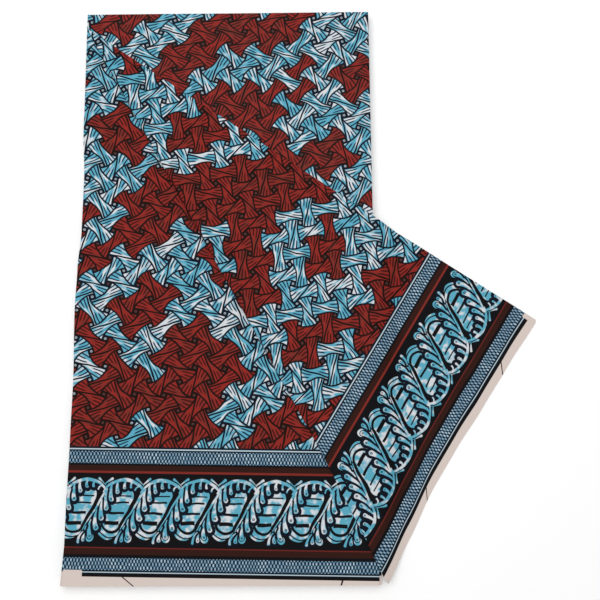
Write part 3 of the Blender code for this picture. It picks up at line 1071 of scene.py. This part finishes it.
def corner_columns():
    """The turned corner: a soft roll along the fold, then over the pile and down to the table."""
    bends = (FLAP_FIRST_X, UPPER_LAST_X, PILE_WIDTH + FLAP_DROP_RUN, FLAP_FAR_CORNER.x - FLAP_TIP_WIDTH)
    xs = [FLAP_FIRST_X]
    for low, high, steps in zip(bends, bends[1:], FLAP_STEPS_X):
        xs += spaced(low, high, steps)[1:]
    columns = []
    for x in xs:
        share = fold_share(x)
        nose, radius = fold_point(share), fold_radius(share)
        on_fold = x < FOLD_END.x
        column = []
        if on_fold:
            start = nose + FOLD_ACROSS * radius
            start_flat = nose - FOLD_ACROSS * (radius * (math.pi - 1.0))
        else:
            start = Vector((x, selvedge_y(x) + radius))
            start_flat = edge_flat(x, True) + Vector((0.0, radius))
        shift = true_print(start.x, start.y, start_flat) - start_flat
        for step in range(ROLL_STEPS):
            turn = math.pi * (step / ROLL_STEPS - 0.5)
            if on_fold:
                place = nose + FOLD_ACROSS * (radius * (1.0 - math.cos(turn)))
                height = UPPER_LAYER_Z + radius * (1.0 + math.sin(turn))
                flat = nose + FOLD_ACROSS * (radius * (1.0 - math.pi * step / ROLL_STEPS))
                printed = flat + shift
            else:
                rise = Vector((0.0, radius * step / ROLL_STEPS))
                place = Vector((x, selvedge_y(x))) + rise
                height = FLAP_Z
                flat = edge_flat(x, True) + rise
                printed = true_print(place.x, place.y, flat)
            column.append(turned_knot(place, height, flat, printed))
        end_flat = edge_flat(start.x, False)
        for row in range(FLAP_ROWS + 1):
            along = (row / FLAP_ROWS) ** FLAP_ROW_CROWDING
            y = start.y + (cut_end_y(start.x) - start.y) * along
            height = FLAP_Z
            if on_fold:
                settled = smooth((y - start.y) * FOLD_ACROSS.y / ROLL_SETTLE_LENGTH)
                crest = UPPER_LAYER_Z + 2.0 * radius
                height = crest + (FLAP_Z - crest) * settled
            flat = start_flat.lerp(end_flat, along)
            printed = true_print(start.x, y, flat)
            column.append(turned_knot(Vector((start.x, y)), height, flat, printed))
        columns.append(column)
    return columns


def hidden_stations(panels):
    """The doubled length's way to and fro: place across, height, facing, reach, panel and share."""
    pitch = PILE_HEIGHT / panels
    stations = []
    for panel in range(panels):
        height = PILE_HEIGHT - (panel + 0.5) * pitch
        forward = 1.0 if panel % 2 else -1.0
        shares = spaced(0.0, 1.0, PANEL_STEPS)
        if panel == 0:
            shares[0] = TOP_PANEL_START
        for share in shares:
            across = share if forward > 0.0 else 1.0 - share
            stations.append(Station(across, height, Vector((0.0, 0.0, forward)), 0.0, panel, share))
        if panel == panels - 1:
            continue
        for step in range(1, FOLD_STEPS):
            turn = math.pi * step / FOLD_STEPS
            facing = Vector((forward * math.sin(turn), 0.0, forward * math.cos(turn)))
            fold_z = height - pitch / 2.0 * (1.0 - math.cos(turn))
            reach = forward * pitch / 2.0 * math.sin(turn)
            stations.append(Station(max(forward, 0.0), fold_z, facing, reach, panel, 1.0))
    return stations


def hidden_rows():
    """The doubled cloth from one selvedge up to the long fold and back to the other selvedge."""
    rows = [DoubledRow(share, -1.0, 0.0, share * PILE_LENGTH) for share in spaced(0.0, 1.0, 12)]
    for step in range(1, 4):
        turn = math.pi * step / 4.0
        rows.append(DoubledRow(1.0, -math.cos(turn), math.sin(turn), PILE_LENGTH))
    for share in spaced(1.0, 0.0, 12):
        rows.append(DoubledRow(share, 1.0, 0.0, CLOTH_WIDTH - share * PILE_LENGTH))
    return rows


def hidden_left_x(y):
    """The left side of the hidden layers, which stand out at the near left corner."""
    return left_edge_x(y) + read_table(HIDDEN_LEFT_EDGE, y, "shift") + HIDDEN_LEFT_INSET


def hidden_right_x(y):
    """The right side of the hidden layers, which stand out a little at the near right corner."""
    return PILE_WIDTH - HIDDEN_RIGHT_INSET + read_table(HIDDEN_RIGHT_EDGE, y, "shift")


def hidden_columns(panels, thickness):
    """The hidden pile: one doubled length that goes to and fro, a fold at the end of each panel."""
    pitch = PILE_HEIGHT / panels
    apart = pitch / 4.0
    edge = pitch / 2.0 + apart + thickness / 2.0
    rows = hidden_rows()
    columns = []
    for index, station in enumerate(hidden_stations(panels)):
        panel = station.panel
        near = MILLIMETRE * PANEL_STAGGER[panel]
        far = PILE_LENGTH - HIDDEN_FAR_INSET - 0.5 * MILLIMETRE * PANEL_STAGGER[-1 - panel]
        after = MILLIMETRE * FOLD_STAGGER[min(panel, len(FOLD_STAGGER) - 1)]
        before = MILLIMETRE * FOLD_STAGGER[max(panel - 1, 0)]
        at_left, at_right = (before, after) if panel % 2 else (after, before)
        column = []
        for place, row in enumerate(rows):
            y = near + (far - near) * row.share + apart * row.reach
            left = hidden_left_x(y) + edge + at_left
            right = hidden_right_x(y) - edge - at_right
            x = left + (right - left) * station.across + station.reach
            knot_place = Vector((x, y, station.height)) + station.facing * (apart * row.side)
            knot_place.z += ripple(x, y) * knot_place.z / PILE_HEIGHT
            flat = ((panel + 1 + station.share) * PILE_WIDTH, row.flat)
            column.append(Knot(knot_place, flat, Vector((index, place))))
        columns.append(column)
    return columns


# The strips of the baked image for the hidden layers' two skins and for their underside: where
# each begins, and how tall it is
FACE_STRIP = (0.01, 0.32)
BACK_STRIP = (0.35, 0.32)
UNDERSIDE_STRIP = (0.69, 0.29)


def hidden_bake(columns):
    """Where the hidden layers' skins go in the baked image: the underside gets a third of it."""
    last_panel = len(columns) - PANEL_STEPS - 1
    count = len(columns[0])
    middle_row = count // 2 + 1

    def bake_place(skin, middle, spot):
        if skin == UNDERSIDE and middle.x > last_panel and middle.y > middle_row:
            low, tall = UNDERSIDE_STRIP
            along = inside_margin((spot.y - middle_row) / (count - 1 - middle_row))
            return along, low + tall * (spot.x - last_panel) / PANEL_STEPS
        low, tall = FACE_STRIP if skin == "face" else BACK_STRIP
        return inside_margin(spot.x / (len(columns) - 1)), low + tall * spot.y / (count - 1)

    return bake_place


def declare_cloth(piece, node):
    """Attach a finished piece of cloth to the root body, and hide the frame's part that it stands for."""
    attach(piece, "root")
    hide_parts(node)


class AddHiddenLayers(bpy.types.Operator):
    """Add the hidden layers of the pile, a doubled length that goes to and fro"""

    bl_idname = "cotton.add_hidden_layers"
    bl_label = "Add Hidden Layers"

    def execute(self, context):
        sizes = context.scene.cotton_cloth
        columns = hidden_columns(sizes.hidden_panels, sizes.hidden_thickness)
        first_fold = 2.0 * PILE_WIDTH / MILLIMETRE
        material = printed_material("edge_cotton", cut_end=first_fold)
        bake = hidden_bake(columns)
        piece = add_cloth("hidden_cloth", columns, sizes.hidden_thickness, bake, material)
        flat = (CLOTH_WIDTH, PILE_WIDTH * sizes.hidden_panels)
        declare_cloth(piece, "folded_layers")
        return {"FINISHED"}


class AddLowerLayer(bpy.types.Operator):
    """Add the layer under the topmost one, printed face up"""

    bl_idname = "cotton.add_lower_layer"
    bl_label = "Add Lower Layer"

    def execute(self, context):
        thickness = context.scene.cotton_cloth.thickness
        bake = triangle_bake(0.90, shows_below_fold)
        material = printed_material("face_cotton")
        piece = add_cloth("lower_cloth", lower_columns(), thickness, bake, material)
        declare_cloth(piece, "lower_layer")
        return {"FINISHED"}


class AddUpperLayer(bpy.types.Operator):
    """Add the topmost layer, wrong side up, with its far and right edges folded under"""

    bl_idname = "cotton.add_upper_layer"
    bl_label = "Add Upper Layer"

    def execute(self, context):
        thickness = context.scene.cotton_cloth.thickness
        prints = context.scene.cotton_print
        bake = triangle_bake(0.90)
        material = printed_material("reverse_cotton", prints.reverse_fade)
        piece = add_cloth("upper_cloth", upper_columns(), thickness, bake, material)
        declare_cloth(piece, "upper_layer")
        return {"FINISHED"}


class AddTurnedCorner(bpy.types.Operator):
    """Add the corner that is turned back over the diagonal fold and down to the table"""

    bl_idname = "cotton.add_turned_corner"
    bl_label = "Add Turned Corner"

    def execute(self, context):
        thickness = context.scene.cotton_cloth.thickness
        bake = triangle_bake(0.78)
        material = printed_material("face_cotton")
        piece = add_cloth("turned_cloth", corner_columns(), thickness, bake, material)
        declare_cloth(piece, "turned_flap")
        return {"FINISHED"}


class AddStudio(bpy.types.Operator):
    """Add a pale floor, soft even light and the camera over the cloth"""

    bl_idname = "cotton.add_studio"
    bl_label = "Add Studio"

    def execute(self, context):
        scene = context.scene
        studio = scene.cotton_studio
        bpy.ops.object.select_all(action="DESELECT")
        bpy.ops.mesh.primitive_plane_add(size=FLOOR_SIZE, location=(0.0, 0.0, FLOOR_Z))
        floor = context.object
        floor.name = "floor"
        paint = bpy.data.materials.new("floor_paint")
        paint.use_nodes = True
        shader = paint.node_tree.nodes["Principled BSDF"]
        shader.inputs["Base Color"].default_value = studio.floor
        shader.inputs["Roughness"].default_value = 0.9
        shader.inputs["Emission Color"].default_value = studio.floor
        shader.inputs["Emission Strength"].default_value = studio.floor_glow
        floor.data.materials.append(paint)

        lamp = bpy.data.lights.new("soft_lamp", "AREA")
        lamp.shape = "SQUARE"
        lamp.size = LAMP_SIZE
        lamp.energy = studio.lamp_power
        light = bpy.data.objects.new("soft_lamp", lamp)
        light.location = LAMP_PLACE
        light.rotation_euler = Euler([math.radians(angle) for angle in LAMP_TURN])
        scene.collection.objects.link(light)

        world = bpy.data.worlds.new("studio")
        world.use_nodes = True
        background = world.node_tree.nodes["Background"]
        background.inputs["Color"].default_value = (1.0, 1.0, 1.0, 1.0)
        background.inputs["Strength"].default_value = studio.room_light
        scene.world = world
        scene.view_settings.view_transform = "Standard"

        lens = bpy.data.cameras.new("camera")
        lens.lens = studio.lens
        lens.sensor_width = 36.0
        camera = bpy.data.objects.new("camera", lens)
        camera.location = CAMERA_PLACE
        camera.rotation_euler = Euler([math.radians(angle) for angle in CAMERA_TURN])
        scene.collection.objects.link(camera)
        scene.camera = camera
        return {"FINISHED"}


class CottonPanel(bpy.types.Panel):
    """Buttons and settings of the folded cloth"""

    bl_idname = "VIEW3D_PT_folded_cotton"
    bl_label = "Folded Cotton"
    bl_space_type = "VIEW_3D"
    bl_region_type = "UI"
    bl_category = "Cloth"

    def draw(self, context):
        layout = self.layout
        for operator in OPERATORS:
            layout.operator(operator.bl_idname)
        for settings in (context.scene.cotton_cloth, context.scene.cotton_print, context.scene.cotton_studio):
            box = layout.box()
            for name in settings.__annotations__:
                box.prop(settings, name)


OPERATORS = (AddHiddenLayers, AddLowerLayer, AddUpperLayer, AddTurnedCorner, AddStudio)
CLASSES = (CottonClothSettings, CottonPrintSettings, CottonStudioSettings, *OPERATORS, CottonPanel)


def register():
    """Register the settings, the operators and the panel."""
    for item in CLASSES:
        bpy.utils.register_class(item)
    bpy.types.Scene.cotton_cloth = PointerProperty(type=CottonClothSettings)
    bpy.types.Scene.cotton_print = PointerProperty(type=CottonPrintSettings)
    bpy.types.Scene.cotton_studio = PointerProperty(type=CottonStudioSettings)


def unregister():
    """Take the settings, the operators and the panel away again."""
    del bpy.types.Scene.cotton_studio
    del bpy.types.Scene.cotton_print
    del bpy.types.Scene.cotton_cloth
    for item in reversed(CLASSES):
        bpy.utils.unregister_class(item)


def main():
    """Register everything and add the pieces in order."""
    register()
    bpy.ops.cotton.add_studio()
    bpy.ops.cotton.add_hidden_layers()
    bpy.ops.cotton.add_lower_layer()
    bpy.ops.cotton.add_upper_layer()
    bpy.ops.cotton.add_turned_corner()


if __name__ == "__main__":
    main()
